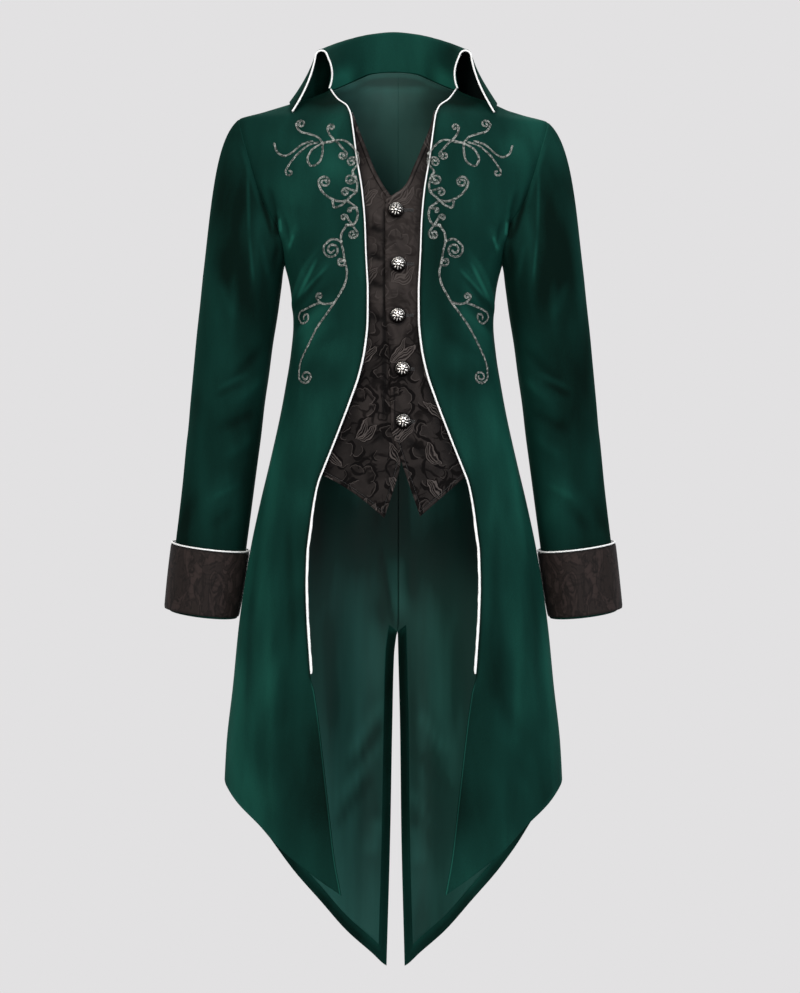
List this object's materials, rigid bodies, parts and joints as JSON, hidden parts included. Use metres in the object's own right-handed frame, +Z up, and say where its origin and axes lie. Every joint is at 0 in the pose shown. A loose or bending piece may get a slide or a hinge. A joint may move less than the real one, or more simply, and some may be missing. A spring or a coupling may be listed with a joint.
{
  "type": "tailcoat",
  "caption": "Worn velvet tailcoat with a turned-down high collar, white piping, a buttoned brocade mock waistcoat, turned-up brocade cuffs and two pointed tails.",
  "frame": {"origin": "midway between the wearer's shoulders, level with the foot of the neck", "axes": "+X to the wearer's left, +Y to the wearer's back, +Z up"},
  "size_m": [0.6172, 0.3021, 1.3082],
  "materials": {
    "velvet": "matt velvet nap",
    "brocade": "woven satin pattern",
    "piping": "twisted satin cord",
    "lining": "satin",
    "metal": "antique silver"
  },
  "bodies": {
    "root": {"front_left": "velvet", "front_right": "velvet", "back_left": "velvet", "back_right": "velvet", "sleeve_left": "velvet", "sleeve_right": "velvet", "collar": "velvet", "vest_left": "brocade", "vest_right": "brocade", "cuff_left": "brocade", "cuff_right": "brocade", "front_piping_left": "piping", "front_piping_right": "piping", "cuff_piping_left": "piping", "cuff_piping_right": "piping", "collar_piping_left": "piping", "collar_piping_right": "piping", "back_lining_left": "lining", "back_lining_right": "lining", "button_1": "metal", "button_2": "metal", "button_3": "metal", "button_4": "metal", "button_5": "metal"}
  },
  "joints": []
}
